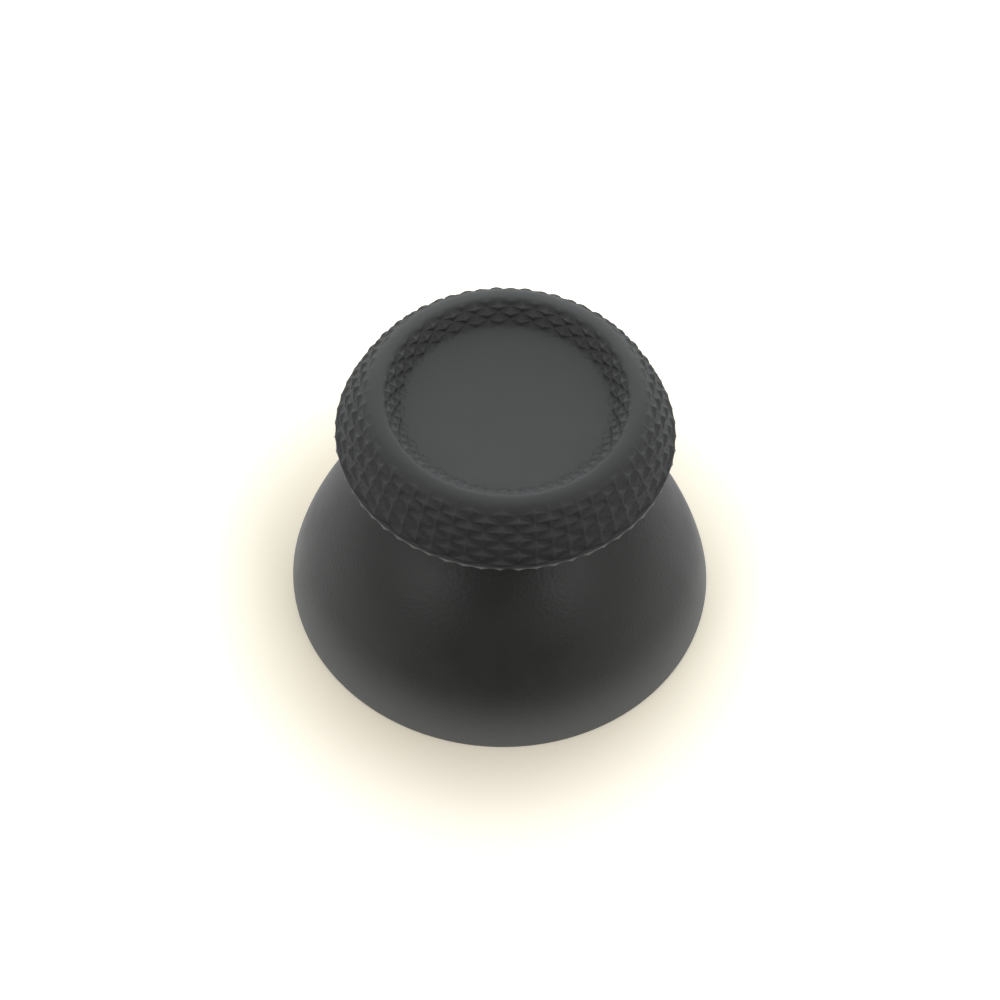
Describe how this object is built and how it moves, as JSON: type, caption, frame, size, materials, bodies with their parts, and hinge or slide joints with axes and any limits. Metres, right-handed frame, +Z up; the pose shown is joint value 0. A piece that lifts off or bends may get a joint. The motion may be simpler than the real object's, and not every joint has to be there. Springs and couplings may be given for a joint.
{
  "type": "thumbstick cap for a game controller",
  "caption": "Round thumbstick cap: a hollow plastic dome with a neck and a soft dished grip whose rim has a diamond knurl.",
  "frame": {"origin": "centre of the dome's open rim, on the flat ring it stands on", "axes": "+Z up along the stick's axis, from the open rim to the thumb disc; the socket's two flats face +Y and -Y"},
  "size_m": [0.023, 0.023, 0.0158],
  "materials": {
    "hard_plastic": "satin moulded plastic with a fine spark texture",
    "soft_rubber": "matte soft-touch rubber"
  },
  "bodies": {
    "root": {"stick_base": "hard_plastic", "grip_cap": "soft_rubber"}
  },
  "joints": []
}
